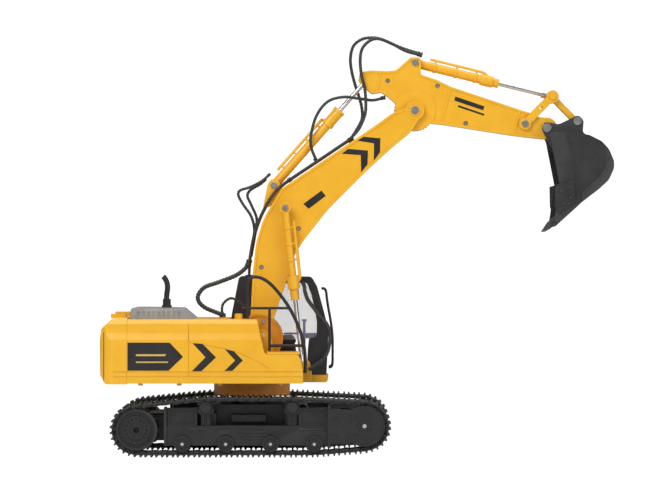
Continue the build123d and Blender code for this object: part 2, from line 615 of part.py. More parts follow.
# ---- cab shell: outer and inner outline, then the door, rear side, front and rear openings
cab = plate([(-21.4, 76.8), (-21.4, 137.2, 10), (-13.8, 176.2, 4), (59, 175.6, 5),
             (64.8, 165.6, 12), (71.6, 140.6, 30), (76.6, 121, 12), (75.7, 103.6, 20),
             (74.5, 76.8)], CAB_Y0, CAB_Y1)
cab -= plate([(-19, 75), (-19, 137, 9), (-11.6, 171.6, 3), (57.2, 171, 3), (61.6, 164, 10),
              (68.6, 140, 30), (73.4, 121, 10), (72.6, 104, 18), (72, 75)],
             CAB_Y0 + 2.2, CAB_Y1 - 2.2)
cab -= plate([(1.5, 79.5, 2), (1.5, 168.4, 3), (54.6, 169.6, 3), (59, 158.2, 20),
              (63.2, 140.6, 20), (64.8, 128.9, 15), (64.4, 114.7, 3), (56.6, 112.9, 2),
              (55.6, 103.6, 8), (54.4, 79.5, 2)], CAB_Y0 - 1, CAB_Y1 + 1)
cab -= plate([(-17.5, 120, 2), (-16.6, 140, 6), (-11, 166, 3), (-3, 167, 2), (-3, 120, 2)],
             CAB_Y1 - 4, CAB_Y1 + 1)
cab -= block(55, 85, CAB_Y0 + 5, CAB_Y1 - 5, 124, 168)
cab -= block(-25, -15, CAB_Y0 + 6, CAB_Y1 - 6, 142, 166)
# roof panel and floor ledges
cab += plate([(-8, 175.2), (-8, 177.4, 1), (48, 177, 1), (48, 175)], CAB_Y0 + 6, CAB_Y1 - 6)
cab += (block(-18.9, 72, CAB_Y0 + 0.2, CAB_Y0 + 2.2, 76.8, 78.6)
        + block(-18.9, 72, CAB_Y1 - 2.2, CAB_Y1 - 0.2, 76.8, 78.6))
save("cab_shell", cab)

# ---- panes against the inside of the walls
side_pane = [(0, 112, 2), (0, 170, 3), (55.6, 170.6, 3), (60.4, 158.6, 20), (64.6, 141, 20),
             (66.4, 129, 15), (66, 112, 3)]
front_pane = [(70.55, 124), (67.9, 140), (62.1, 160.9), (61.3, 160.6), (67.1, 139.8),
              (69.75, 123.9)]
save("cab_windows", plate(side_pane, CAB_Y0 + 2.25, CAB_Y0 + 3.05),
     plate(side_pane, CAB_Y1 - 3.05, CAB_Y1 - 2.25),
     plate(front_pane, CAB_Y0 + 3.6, CAB_Y1 - 3.6))

# ---- seat: pedestal, cushion, backrest and two armrests
seat = (block(14, 34, 47, 66, 76.6, 96)
        + plate([(10, 95, 3), (9, 107, 4), (42, 109, 5), (44, 98, 4), (40, 95, 2)], 44, 69))
seat += plate([(9, 104, 2), (2.5, 146, 4), (9.5, 149, 4), (18, 107, 2)], 45, 68)
armrest = [(20, 108), (20, 115.6, 3), (40, 116.4, 4), (44, 110, 3), (41, 106)]
seat += plate(armrest, 41, 45.5) + plate(armrest, 67.5, 72)
save("cab_seat", seat)

# ---- console bar with its leg, and the tall lever
console = (plate([(46.5, 113.4, 1), (46.5, 118.2, 1), (64.2, 118.2, 1), (64.2, 113.4, 1)],
                 47.5, 70)
           + plate([(31, 117, 0.4), (31, 118.6, 0.4), (50, 118.6, 0.4), (50, 117, 0.4)],
                   47.5, 66))
console += plate([(57, 76.6), (58.6, 114), (63, 114), (66, 76.6)], 52, 66)
lever = (post(51.9, 41.5, 0.9, 76.6, 108) + post(51.9, 41.5, 1.35, 107, 131)
         + post(51.9, 41.5, 2.5, 130.7, 132.5))
save("cab_console", console, lever)

# ---- guard rails: right side of the house, and the cab front
RAIL_Y = -50
rail = tube([(-3.5, 134.8), (-3.5, 150), (-3.5, 165), (-2.6, 172.6), (1.4, 175.8), (6, 176),
             (13, 173.6), (20.3, 168.2), (27.7, 160), (35, 150.2), (39.9, 142.1), (44.8, 132.2),
             (48.1, 124), (50.9, 115.8), (52.6, 107), (53.6, 97), (53.6, 81.5)], 1.65, RAIL_Y)
rail += (bar((-8.6, 145.3), (38.3, 145.3), 1.3, RAIL_Y)
         + bar((18.4, 145.3), (18.4, 103.05), 1.3, RAIL_Y)
         + bar((18.4, 108.3), (52.3, 108.3), 1.5, RAIL_Y))
rail += bar((53.6, 83), (51.65, 83), 1.3, RAIL_Y)
save("side_guard_rail", rail)

CAB_RAIL = [(69.2, 163.6), (72.6, 163), (74.4, 157), (77.5, 137.2), (79.6, 124), (80.6, 112),
            (80.6, 96), (80.5, 88.7), (79.4, 84.8), (76.6, 84.2)]
CAB_RAIL_Y = (39, 72.6)
rail = tube(CAB_RAIL, 1.25, CAB_RAIL_Y[0])
rail += tube(CAB_RAIL, 1.25, CAB_RAIL_Y[1])
for rung in ((75.6, 149), (79, 128), (80.6, 104)):
    rail += disc(rung, 1, *CAB_RAIL_Y)
save("cab_guard_rail", rail)

# ================================================================ boom
BOOM_OUTLINE = [        # x, z, corner radius
    (-3, 112), (-1, 137.8, 30), (1.2, 180, 90), (4.3, 209.4, 60), (11.4, 233, 60),
    (29.5, 263.6, 30), (34, 266.6, 12), (103.9, 313.5, 120), (126, 328.6, 60),
    (141, 339.8, 40), (157, 345.2, 14), (164.5, 348, 6), (169.6, 342, 5), (167.6, 334.6, 12),
    (158.4, 319.9, 30), (140.5, 305.4, 80), (115.9, 283, 150), (75.8, 242.9, 150),
    (51.2, 211.6, 60), (42.6, 198, 30), (34.4, 171, 40), (29, 155.6, 30), (20, 128), (18, 112)]
boom_face = outline(BOOM_OUTLINE)
boom_sketch = Sketch() + boom_face
boom_inside = offset(boom_sketch, amount=-BOOM_WALL)
boom_panel = offset(boom_sketch, amount=-2.6)


def boom_half(side):
    """One moulded boom half."""
    span = side_span(side)
    shell = (plate(boom_face, *span(0.02, BOOM_Y))
             + disc(BOOM_FOOT, 24, *span(0.02, BOOM_Y)))
    shell -= (plate(boom_inside.faces()[0], *span(0, BOOM_Y - 3.2))
              - disc(BOOM_FOOT, 25, *span(0, BOOM_Y + 1)))
    shell -= disc(BOOM_FOOT, 21, *span(0, BOOM_Y - 3.2))
    # recessed panel inside a raised rim
    shell -= (plate(boom_panel.faces()[0], *span(BOOM_Y - 0.7, BOOM_Y + 1))
              - disc(BOOM_FOOT, 24.4, *span(0, BOOM_Y + 2)))
    shell -= disc(BOOM_FOOT, 22, *span(BOOM_Y - 0.9, BOOM_Y + 1))
    # clearance for the stick hub between the cheeks, then the pin bosses
    shell -= disc(STICK_PIN, 23.6, *span(0, 13))
    shell += (disc(STICK_PIN, 9.5, *span(13, BOOM_Y))
              + disc(STICK_PIN, 5.9, *span(BOOM_Y - 1, BOOM_Y + 1.2)))
    shell += (disc(RAM_EYE, 5, *span(BOOM_Y - 3.6, BOOM_Y + 0.4))
              + disc(BOOM_FOOT, 8, *span(0.02, BOOM_Y)))
    # ear for the stick ram base
    shell += plate([(15.6, 267.4, 3), (18.4, 273.2, 4.5), (25.4, 273.4, 4.5), (30, 266),
                    (31, 262), (20, 247), (11, 243.5)], *span(6.2, 9.4))
    shell -= [disc(BOOM_FOOT, MAIN_PIN_R, *span(-1, BOOM_Y + 2)),
              disc(STICK_PIN, MAIN_PIN_R, *span(5, BOOM_Y + 3)),
              disc(STICK_RAM_BASE, RAM_PIN_R, *span(5, 12)),
              disc(RAM_EYE, RAM_PIN_R, *span(10, 22))]
    # screw pits
    for c in BOOM_SCREWS:
        shell += disc(c, 4.4, *span(2, BOOM_Y - 1))
        shell -= disc(c, 2.3, *span(8, BOOM_Y + 2)) + disc(c, 1, *span(0, 9))
    return shell


save_pair("boom_shell", boom_half)

# ---- pins and screws of the boom
hardware = [
    disc(BOOM_FOOT, MAIN_PIN_R, -23.6, 23.6),
    disc(STICK_PIN, MAIN_PIN_R, -BOOM_Y - 1.6, BOOM_Y + 1.6)
    + disc(STICK_PIN, 4.1, -BOOM_Y - 1.9, -BOOM_Y - 1.25)
    + disc(STICK_PIN, 4.1, BOOM_Y + 1.25, BOOM_Y + 1.9),
    disc(STICK_RAM_BASE, RAM_PIN_R, -9.8, 9.8) + disc(STICK_RAM_BASE, 3.2, -10.8, -9.45)
    + disc(STICK_RAM_BASE, 3.2, 9.45, 10.8)]
for side in (-1, 1):
    span = side_span(side)
    hardware.append(disc(RAM_EYE, RAM_PIN_R, *span(12, RAM_Y + 3.4))
                    + disc(RAM_EYE, 2.9, *span(RAM_Y + 3.3, RAM_Y + 4.6)))
    hardware += [disc(c, 2, *span(9.1, 11)) for c in BOOM_SCREWS]
save("boom_hardware", *hardware)

# ---- stick gear motor and pinion
DRIVE_ANGLE = math.atan2(-0.637, -0.77)     # direction from the stick pin to the pinion
PINION = polar(STICK_PIN, GEAR_DIST, DRIVE_ANGLE)


def on_drive(dist):
    return polar(STICK_PIN, dist, DRIVE_ANGLE)


motor = (plate(strip(on_drive(24.4), on_drive(56), 8), -14.4, -3.4)
         + disc(PINION, 3, -14, -3.4))
motor -= disc(STICK_PIN, 23.7, -12.9, 13)
motor += bar(on_drive(54), on_drive(78), 6.2, y=-8)
motor += disc(PINION, MOTOR_SHAFT_R, -4, 2.4)
save("stick_gearmotor", motor)
save("stick_pinion",
     gear(PINION_N, PINION, -2.4, 2.3, DRIVE_ANGLE + math.pi, MOTOR_SHAFT_R + FIT))

# ================================================================ stick
STICK_OUTLINE = [       # x, z, corner radius
    (106.2, 371.6, 4), (107.6, 379.8, 3), (118.6, 381.6, 6), (133, 380.9), (143.5, 381.6, 3),
    (158.4, 394.6, 3), (168.6, 394.6, 3), (168.6, 377.6, 3), (183.7, 372.5, 20),
    (199, 365.2, 30), (221.9, 357.6), (267.8, 342.2), (279.3, 338.8, 10), (287, 334.8, 10),
    (297, 334.4, 6), (304.4, 326, 9), (300, 315, 9), (290.8, 313.2), (260.2, 316.8, 40),
    (189.4, 327.9, 60), (178, 328.9), (162.5, 330, 2), (154, 336, 3), (147.3, 342.2, 5),
    (143.5, 348.9, 8), (135.8, 355.6, 8), (129.1, 360, 3), (119.9, 358.6, 3), (114.8, 362.6, 4)]
stick_face = outline(STICK_OUTLINE)
stick_sketch = Sketch() + stick_face
stick_inside = offset(stick_sketch, amount=-2.4)
stick_panel = offset(stick_sketch, amount=-2.2)


def stick_half(side):
    """One moulded stick half."""
    span = side_span(side)
    shell = (plate(stick_face, *span(0.02, STICK_Y)) + disc(BUCKET_PIN, 10.5, *span(0.02, STICK_Y))
             + disc(STICK_PIN, 20, *span(3, STICK_Y)))
    for face in stick_inside.faces():
        shell -= plate(face, *span(0, STICK_Y - 2.6))
    shell -= disc(STICK_PIN, 17.6, *span(0, STICK_Y - 2.6))
    # recessed panel inside a raised rim
    for face in stick_panel.faces():
        shell -= (plate(face, *span(STICK_Y - 0.6, STICK_Y + 1))
                  - disc(STICK_PIN, 21, *span(0, STICK_Y + 2))
                  - disc(BUCKET_PIN, 11.2, *span(0, STICK_Y + 2)))
    # raised ribs across the outer face
    for p, q in (((128.6, 380.3), (124.6, 360.6)), ((198.4, 365), (189.2, 328.2)),
                 ((267.3, 341.9), (261.2, 317.2))):
        shell += plate(strip(p, q, 1.1), *span(STICK_Y - 1.2, STICK_Y))
    # hubs
    shell += (disc(STICK_PIN, 8, *span(2.6, STICK_Y)) + disc(BUCKET_PIN, 10.5, *span(0.02, STICK_Y))
              + disc(ROCKER_FOOT, 5.6, *span(0.02, STICK_Y)))
    # the bucket ram base and the stick ram end run between the cheeks
    shell -= plate([(140, 383), (140, 400), (180, 400), (180, 376), (171, 378.8),
                    (150, 380.6)], *span(0, 6.4))
    shell += plate([(150.4, 386, 2), (158.4, 393.4, 3), (167.4, 393.4, 3), (167.6, 384.4, 2)],
                   *span(6.4, STICK_Y - 2))
    shell -= plate([STICK_RAM_END] + [polar(STICK_RAM_END, 27, math.radians(t))
                                      for t in (203, 235, 265, 297)], *span(0, 7.4))
    shell -= disc(STICK_RAM_END, 11, *span(0, 7.4))
    shell += disc(STICK_RAM_END, 4.2, *span(6.6, STICK_Y - 2))
    # slot for the gear
    shell -= disc(STICK_PIN, 21.4, *span(0, 2.7))
    shell -= (disc(STICK_PIN, MAIN_PIN_R + FIT, *span(-1, STICK_Y + 2))
              + disc(BUCKET_PIN, BUCKET_PIN_R + FIT, *span(-1, STICK_Y + 2))
              + disc(ROCKER_FOOT, RAM_PIN_R, *span(-1, STICK_Y + 2))
              + disc(BUCKET_RAM_BASE, RAM_PIN_R, *span(6, STICK_Y + 1)))
    # screw pits
    for c in STICK_SCREWS:
        shell += disc(c, 3.9, *span(1, STICK_Y - 0.7))
        shell -= disc(c, 2.3, *span(5, STICK_Y + 2)) + disc(c, 1, *span(0, 6))
    return shell


save_pair("stick_shell", stick_half)

wheel = gear(GEAR_N, STICK_PIN, -2.5, 2.5, DRIVE_ANGLE + math.pi / GEAR_N, MAIN_PIN_R + FIT)
for a in angles(5, DRIVE_ANGLE):
    wheel -= disc(polar(STICK_PIN, 13, a), 3.2, -4, 4)
save("stick_gear", wheel)

# ---- pins and screws of the stick
hardware = [disc(ROCKER_FOOT, RAM_PIN_R, -15.6, 15.6) + disc(ROCKER_FOOT, 3.4, -16.9, -15.3)
            + disc(ROCKER_FOOT, 3.4, 15.3, 16.9)]
for side in (-1, 1):
    span = side_span(side)
    hardware.append(disc(BUCKET_RAM_BASE, RAM_PIN_R, *span(6, 12.4))
                    + disc(BUCKET_RAM_BASE, 3.3, *span(12.05, 13.3)))
    hardware += [disc(c, 2, *span(6.1, 8)) for c in STICK_SCREWS]
save("stick_hardware", *hardware)


# ================================================================ rams
# Each barrel carries a thin pipe on stubs along its left side, seen from base to rod end.
def boom_barrel(y):
    def at(dist, off=0):
        return along(RAM_EYE, RAM_FOOT, dist, off)
    barrel = (turned(RAM_EYE, RAM_FOOT, [(4.6, 68, 3.4), (68, 81, 5.8), (81, 92, 4.1)], y)
              + disc(RAM_EYE, 5.5, y - 3.2, y + 3.2))
    barrel -= disc(RAM_EYE, 4, y - 4, y + 4)
    for dist in (20, 36, 52):
        barrel += bar(at(dist - 1.2), at(dist + 1.2), 4.3, y)
        barrel += bar(at(dist, 2), at(dist, 7), 0.9, y)
    barrel += bar(at(14, 7), at(71, 7), 1.35, y)
    barrel += bar(at(71, 7), at(75, 4.4), 1.35, y)
    barrel -= bar(at(9), at(93), 2, y)
    return barrel


def boom_rod(y):
    rod = (turned(RAM_FOOT, RAM_EYE, [(4.6, 115, 1.93), (4.6, 10, 3.4)], y)
           + disc(RAM_FOOT, 5.6, y - 3, y + 3))
    return rod - disc(RAM_FOOT, LUG_R + FIT, y - 4, y + 4)


save("boom_cylinder_barrels", boom_barrel(-RAM_Y), boom_barrel(RAM_Y))
save("boom_cylinder_rods", boom_rod(-RAM_Y), boom_rod(RAM_Y))

# ---- stick ram
ends = (STICK_RAM_BASE, STICK_RAM_END)
barrel = (turned(*ends, [(4.6, 80, 4.5), (80, 84, 6.2), (84, 97, 5.6), (97, 100, 6.1)])
          + disc(STICK_RAM_BASE, 5.4, -5.8, 5.8))
for dist in (20, 38, 56, 74):
    barrel += bar(along(*ends, dist, 3.2), along(*ends, dist, 7.4), 0.95)
barrel += bar(along(*ends, 14, 7.5), along(*ends, 82.4, 7.5), 1.45)
barrel -= turned(*ends, [(8, 101, 2.35)])
barrel -= disc(STICK_RAM_BASE, RAM_PIN_R + FIT, -7, 7)
save("stick_cylinder_barrel", barrel)
rod = (turned(STICK_RAM_END, STICK_RAM_BASE, [(4, 120, 2.28), (4, 9, 3.4)])
       + disc(STICK_RAM_END, 5, -5, 5))
save("stick_cylinder_rod", rod - disc(STICK_RAM_END, 2.4, -6, 6))

# ---- bucket ram: barrel base between the stick ears, rod eye on the rocker pin
ends = (BUCKET_RAM_BASE, ROCKER_TOP)
barrel = (turned(*ends, [(4.6, 67.6, 4.5), (67.6, 80, 5.7), (80, 86, 4.5)])
          + disc(BUCKET_RAM_BASE, 5.4, -5.6, 5.6))
for dist in (20, 42, 62):
    barrel += bar(along(*ends, dist, 3.2), along(*ends, dist, 7.2), 0.9)
    barrel += bar(along(*ends, dist - 1.2), along(*ends, dist + 1.2), 5.2)
barrel += bar(along(*ends, 14, 7.4), along(*ends, 69.2, 7.4), 1.35)
barrel += bar(along(*ends, 69.2, 7.4), along(*ends, 74, 4.5), 1.2)
barrel -= turned(*ends, [(8, 87, 2.2)])
barrel -= disc(BUCKET_RAM_BASE, 2.4, -7, 7)
save("bucket_cylinder_barrel", barrel)
rod = (turned(ROCKER_TOP, BUCKET_RAM_BASE, [(4.6, 106, 2.13), (4.6, 11, 3.4)])
       + disc(ROCKER_TOP, 6, -5.6, 5.6))
save("bucket_cylinder_rod", rod - disc(ROCKER_TOP, ROCKER_PIN_R + FIT, -7, 7))


# ================================================================ bucket linkage
def rocker_link(side):
    span = side_span(side)
    link = (link_bar(ROCKER_FOOT, ROCKER_TOP, 5.9, 6.1, 7.6, *span(12.5, 15.1))
            - disc(ROCKER_FOOT, RAM_PIN_R + FIT, *span(12, 16)))
    middle = along(ROCKER_FOOT, ROCKER_TOP, 22.5)
    link += disc(middle, 4, *span(12.5, 15.1))
    return link - disc(middle, 1.8, *span(12, 16))


save("rocker_links",
     rocker_link(-1) + rocker_link(1) + disc(ROCKER_TOP, ROCKER_PIN_R, -15.1, 15.1)
     + disc(ROCKER_TOP, 3.5, -16.4, -15) + disc(ROCKER_TOP, 3.5, 15, 16.4))

coupler = (link_bar(ROCKER_TOP, LINK_PIN, 4.6, 3.6, 5.6, 6.2, 8.8)
           + link_bar(ROCKER_TOP, LINK_PIN, 4.6, 3.6, 5.6, -8.8, -6.2))
coupler += disc(along(ROCKER_TOP, LINK_PIN, 17.5), 2, -6.5, 6.5)
coupler -= disc(ROCKER_TOP, ROCKER_PIN_R + FIT, -10, 10) + disc(LINK_PIN, 1.8, -10, 10)
save("coupler_link", coupler)

# ---- bucket; corner tables are x, z, corner radius
SIDE_PLATE = [
    (294.9, 318.8, 2), (312, 319.6), (334.1, 316.4, 6), (346.5, 310.2, 12),
    (353.6, 302.6, 12), (358.4, 291.5, 12), (359, 284, 14), (353.4, 271.6, 14), (343, 262.2),
    (326.9, 249.9), (320, 243.4), (303.5, 228.6), (299.6, 231), (304.9, 268.1)]
BACK_SHEET = [
    # outer face
    (336, 315.6, 8), (346.5, 310.2, 12), (353.6, 302.6, 12), (358.4, 291.5, 12),
    (359, 284, 14), (353.4, 271.6, 14), (343, 262.2), (326.9, 249.9), (320, 243.4),
    (300.4, 225.6),
    # inner face
    (297.4, 227.6), (318.6, 246), (325, 252.4), (341.2, 264.6, 10), (351, 273.4, 12),
    (355.9, 284.8, 12), (355.4, 291, 10), (350.8, 300.8, 10), (344.6, 307.4, 8),
    (333.6, 311.8, 4), (305, 301.2, 1), (304, 303.9, 1), (331.6, 315.2, 3)]
WEAR_BAND = [           # raised along the back edge of the side plate
    (326.4, 259.5), (343.7, 274.8, 6), (349.4, 283, 8), (350, 289.6, 6), (355.4, 293),
    (358.4, 291.5), (359, 284, 14), (353.4, 271.6, 14), (343, 262.2), (326.9, 249.9)]
HANGER_EAR = [
    (288.6, 322.6, 5), (291, 330, 5), (297.6, 329.2, 4), (305.4, 327.6, 8), (318.8, 334, 6),
    (325, 337.2, 5), (330.4, 331.6, 5), (329.6, 320, 3), (337, 314, 3), (334, 309.5),
    (303, 299.8, 2), (298, 305, 2)]
bucket = plate(BACK_SHEET, -BUCKET_Y + 1.5, BUCKET_Y - 1.5)
for side in (-1, 1):
    span = side_span(side)
    bucket += plate(SIDE_PLATE, *span(BUCKET_Y - 2.4, BUCKET_Y))
    bucket += plate(WEAR_BAND, *span(BUCKET_Y - 1, BUCKET_Y + 0.8))
    bucket += plate(strip((312.1, 318.6), (326.2, 258.8), 0.8),
                    *span(BUCKET_Y - 1, BUCKET_Y + 0.6))
    bucket += plate(HANGER_EAR, *span(15.7, 18.9))
bucket -= [disc(BUCKET_PIN, BUCKET_PIN_R, -20, 20), disc(LINK_PIN, LINK_PIN_R, -20, 20)]
save("bucket", bucket)

# ---- pins of the bucket, side cutters and teeth
hardware = [disc(BUCKET_PIN, BUCKET_PIN_R, -19.6, 19.6) + disc(BUCKET_PIN, 4.2, -20.6, -18.95)
            + disc(BUCKET_PIN, 4.2, 18.95, 20.6)]
for side in (-1, 1):
    span = side_span(side)
    hardware.append(disc(LINK_PIN, LINK_PIN_R, *span(9.6, 19.6))
                    + disc(LINK_PIN, 4, *span(18.95, 20.6)))
    cutter = plate([(300.2, 266.4, 1), (318.3, 272.2, 2), (320.7, 250.9, 2), (303.4, 238.6, 1),
                    (300.6, 246)], *span(BUCKET_Y + 0.05, BUCKET_Y + 2.6))
    for c in ((306.4, 261), (313.1, 264.4), (308.3, 248.5), (315.4, 254.2)):
        cutter += disc(c, 1.8, *span(BUCKET_Y + 2, BUCKET_Y + 3.6))
    hardware.append(cutter)
for i in range(5):
    y = -34 + 17 * i
    tooth = plate([(305.4, 233.2), (303, 236.4), (296.4, 229.4), (290.8, 220.6),
                   (297.4, 224.6)], y - 3.4, y + 3.4)
    tooth -= plate(BACK_SHEET, -BUCKET_Y, BUCKET_Y)
    # the back sheet splits the tooth; keep the larger part
    hardware.append(max(tooth.solids(), key=lambda s: s.volume))
save("bucket_hardware", *hardware)

# ================================================================ hoses
# ---- supply hoses: deck to boom, then along the back and top of the boom
BOOM_RUN = [(-2.3, 192), (-0.6, 203), (1.6, 214), (5.4, 227), (10.2, 239), (17, 251.4),
            (23.6, 260.8), (31.2, 268), (42, 275.6), (66, 291.6), (96.6, 312.2)]
save("boom_hoses",
     tube([(-3.6, 189.5), (-6.6, 184.2), (-15.7, 177.4), (-33.6, 170.3), (-47, 165.4),
           (-53.4, 157.5), (-52.4, 150.6), (-46.2, 145), (-37.5, 141.2), (-31, 139.2)], 2.3, -11),
     tube([(-5.6, 145.5), (-9.8, 148.6), (-20.2, 154.4), (-28.2, 149.6), (-29.9, 142.5),
           (-28.9, 138)], 1.4, -3.5),
     tube(BOOM_RUN, 1.45, -12.5),
     tube(BOOM_RUN, 1.45, 12.5),
     tube([(-2.7, 186.5), (-3.1, 178), (-3.4, 168), (-3.6, 158)], 1.45, 11.5))

# ---- boom to stick in free loops
save("stick_hoses",
     tube([(99, -12.5, 314.2), (107, -13.6, 323.6), (112.6, -14.6, 336.6), (113.7, -15, 347.8),
           (112.6, -15, 363.4), (109.3, -15, 376.8), (108.1, -15, 392.4), (110.4, -14, 403.6),
           (118.2, -12, 411.4), (127.1, -10, 413), (140.5, -7, 408), (153.9, -4, 401.3),
           (168.5, -3, 397.4)], 1.6),
     tube([(99, 12.5, 314.2), (108, 13.6, 329), (110.4, 14.4, 336.4), (109.7, 15, 346.6),
           (107, 15, 356.7), (103.7, 15, 366.8), (99.9, 15, 381.3), (98.5, 14, 394.7),
           (101.4, 12.5, 406.9), (109.3, 11, 413.6), (118.2, 10, 415.6), (129.3, 8, 413.9),
           (148, 5, 405.6), (169, 3, 398.4)], 1.6),
     tube([(64.2, 292.9), (59.6, 304), (59, 316.6), (64.6, 336.6), (75.8, 350.6),
           (91.4, 355.2), (107, 353.6), (120.4, 352), (131, 354)], 1.5, -9))

# ---- boom ram barrel to foot, one loop each side
RAM_LOOP = [(52.2, 166.6), (53, 161), (55.9, 152.8), (62.6, 143.7), (68.4, 136.2),
            (75, 127.9), (77.9, 119.6), (77.5, 108), (74.2, 98), (68.4, 91.4), (59.4, 84.6)]
save("boom_cylinder_hoses", *[tube(RAM_LOOP, 1.7, y) for y in (-RAM_Y, RAM_Y)])

# ---- stick ram barrel to the back of the boom
save("stick_cylinder_hoses",
     tube([(16.6, -3.5, 277.2), (9.9, -3.2, 271.4), (-1.8, -3, 265.4), (-11.4, -3, 262.3),
           (-13.6, -3, 257.6), (-9.1, -3, 248.6), (-0.8, -3, 236.2), (2.4, -3, 222.8),
           (0.4, -3, 209.4), (-1.4, -3, 196.6)], 1.5),
     tube([(14, 3.5, 273.6), (8, 3.4, 268.4), (-1.6, 3.2, 262.6), (-4.6, 3, 256.6),
           (-0.6, 3, 247.3), (4.2, 3, 236), (4.4, 3, 227), (2, 3, 212), (0.2, 3, 201)], 1.5))
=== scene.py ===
"""Toy excavator: finishes, hoses, prints and studio for its CAD pieces.

+X is the digging side (front), +Y the machine's left, +Z up, with the floor at z = 0.
Mesh points are in mm; lights, camera, blend points and shader lengths are in metres.
"""

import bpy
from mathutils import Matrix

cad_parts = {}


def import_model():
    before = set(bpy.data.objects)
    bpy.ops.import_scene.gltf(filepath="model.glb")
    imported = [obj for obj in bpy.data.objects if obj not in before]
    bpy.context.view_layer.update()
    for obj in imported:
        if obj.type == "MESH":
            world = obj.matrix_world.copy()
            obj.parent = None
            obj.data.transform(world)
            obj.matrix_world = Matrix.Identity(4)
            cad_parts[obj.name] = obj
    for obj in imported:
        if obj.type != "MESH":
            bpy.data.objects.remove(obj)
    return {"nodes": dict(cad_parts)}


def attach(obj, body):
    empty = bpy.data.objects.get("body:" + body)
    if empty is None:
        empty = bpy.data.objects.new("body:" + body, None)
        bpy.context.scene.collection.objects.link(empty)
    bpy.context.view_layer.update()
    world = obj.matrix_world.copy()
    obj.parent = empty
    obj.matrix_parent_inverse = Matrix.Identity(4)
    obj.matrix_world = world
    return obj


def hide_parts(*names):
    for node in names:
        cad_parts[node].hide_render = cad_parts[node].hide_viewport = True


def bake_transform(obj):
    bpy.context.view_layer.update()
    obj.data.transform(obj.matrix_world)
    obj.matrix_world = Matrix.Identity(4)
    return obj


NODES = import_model()["nodes"]
import math
import bpy
from mathutils import Vector

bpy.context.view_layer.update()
SIDES = (("right", -1), ("left", 1))


# ---------------------------------------------------------------- materials
def set_inputs(node, **values):
    """Set node inputs, with _ standing for the spaces in their names."""
    for key, value in values.items():
        node.inputs[key.replace("_", " ")].default_value = value


def color_ramp(nodes, *stops):
    ramp = nodes.new("ShaderNodeValToRGB")
    for element, (position, color) in zip(ramp.color_ramp.elements, stops):
        element.position = position
        element.color = (*color, 1)
    return ramp


def material(name, dark, light, rough=0.4, metal=0.0, scale=60.0, bump=0.12, grain=900.0,
             edge=0.0003, wear=None, alpha=1.0, coat=0.0):
    """Mottled finish; scale and grain are noise scales, edge a bevel radius, wear an edge tint."""
    made = bpy.data.materials.new(name)
    made.use_nodes = True
    nodes, link = made.node_tree.nodes, made.node_tree.links.new
    shader = nodes["Principled BSDF"]
    coords = nodes.new("ShaderNodeTexCoord")
    mottle = nodes.new("ShaderNodeTexNoise")
    set_inputs(mottle, Scale=scale, Detail=6)
    fine = nodes.new("ShaderNodeTexNoise")
    set_inputs(fine, Scale=grain, Detail=4)
    for noise in (mottle, fine):
        link(coords.outputs["Object"], noise.inputs["Vector"])

    tint = color_ramp(nodes, (0.32, dark), (0.70, light))
    link(mottle.outputs["Fac"], tint.inputs["Fac"])
    color = tint.outputs["Color"]
    if wear:
        geometry = nodes.new("ShaderNodeNewGeometry")
        # pointiness above 0.53 starts to show wear, up to a quarter of the tint
        edges = color_ramp(nodes, (0.53, (0, 0, 0)), (0.62, (0.25, 0.25, 0.25)))
        link(geometry.outputs["Pointiness"], edges.inputs["Fac"])
        mix = nodes.new("ShaderNodeMixRGB")
        set_inputs(mix, Color2=(*wear, 1))
        link(edges.outputs["Color"], mix.inputs["Fac"])
        link(color, mix.inputs["Color1"])
        color = mix.outputs["Color"]
    link(color, shader.inputs["Base Color"])

    gloss = nodes.new("ShaderNodeMapRange")
    set_inputs(gloss, To_Min=max(0.03, rough - 0.08), To_Max=rough + 0.10)
    link(mottle.outputs["Fac"], gloss.inputs["Value"])
    link(gloss.outputs["Result"], shader.inputs["Roughness"])

    bevel = nodes.new("ShaderNodeBevel")
    bevel.samples = 4
    set_inputs(bevel, Radius=edge)
    relief = nodes.new("ShaderNodeBump")
    set_inputs(relief, Strength=bump, Distance=0.0003)
    link(bevel.outputs["Normal"], relief.inputs["Normal"])
    link(fine.outputs["Fac"], relief.inputs["Height"])
    link(relief.outputs["Normal"], shader.inputs["Normal"])
    set_inputs(shader, Metallic=metal, Alpha=alpha, Coat_Weight=coat)
    return made


YELLOW = material("yellow_moulding", dark=(0.80, 0.40, 0.008), light=(0.85, 0.44, 0.012),
                  rough=0.34, wear=(0.92, 0.52, 0.03), coat=0.12)
# darker copy of the yellow moulding: painted shade, used on the boom foot disc and on the turret
# underside
YELLOW_SHADE = material("yellow_painted_shade", dark=(0.66, 0.24, 0.006), light=(0.74, 0.29, 0.008))
BLACK = material("black_moulding", dark=(0.007, 0.007, 0.008), light=(0.014, 0.014, 0.016),
                 bump=0.25, wear=(0.06, 0.06, 0.07))
TRACK = material("track_plastic", dark=(0.008, 0.008, 0.008), light=(0.020, 0.019, 0.018),
                 rough=0.46, bump=0.35, grain=600, wear=(0.09, 0.09, 0.085))
BUCKET = material("bucket_black", dark=(0.010, 0.010, 0.011), light=(0.019, 0.019, 0.021),
                  rough=0.44, bump=0.5, grain=1400, wear=(0.12, 0.12, 0.12))
GREY = material("vent_grey", dark=(0.27, 0.28, 0.29), light=(0.36, 0.37, 0.38),
                rough=0.38, bump=0.2)
STEEL = material("polished_steel", dark=(0.55, 0.55, 0.56), light=(0.70, 0.70, 0.71),
                 rough=0.20, metal=1.0, scale=200, bump=0.05)
DARK_STEEL = material("dark_steel", dark=(0.22, 0.22, 0.23), light=(0.34, 0.34, 0.35),
                      rough=0.32, metal=1.0, scale=200)
VIOLET = material("violet_plastic", dark=(0.12, 0.035, 0.42), light=(0.16, 0.05, 0.50),
                  rough=0.30, coat=0.2)
RUBBER = material("hose_rubber", dark=(0.012, 0.012, 0.012), light=(0.045, 0.045, 0.045),
                  rough=0.48, scale=700, bump=0.5, grain=1800, edge=0.0001)
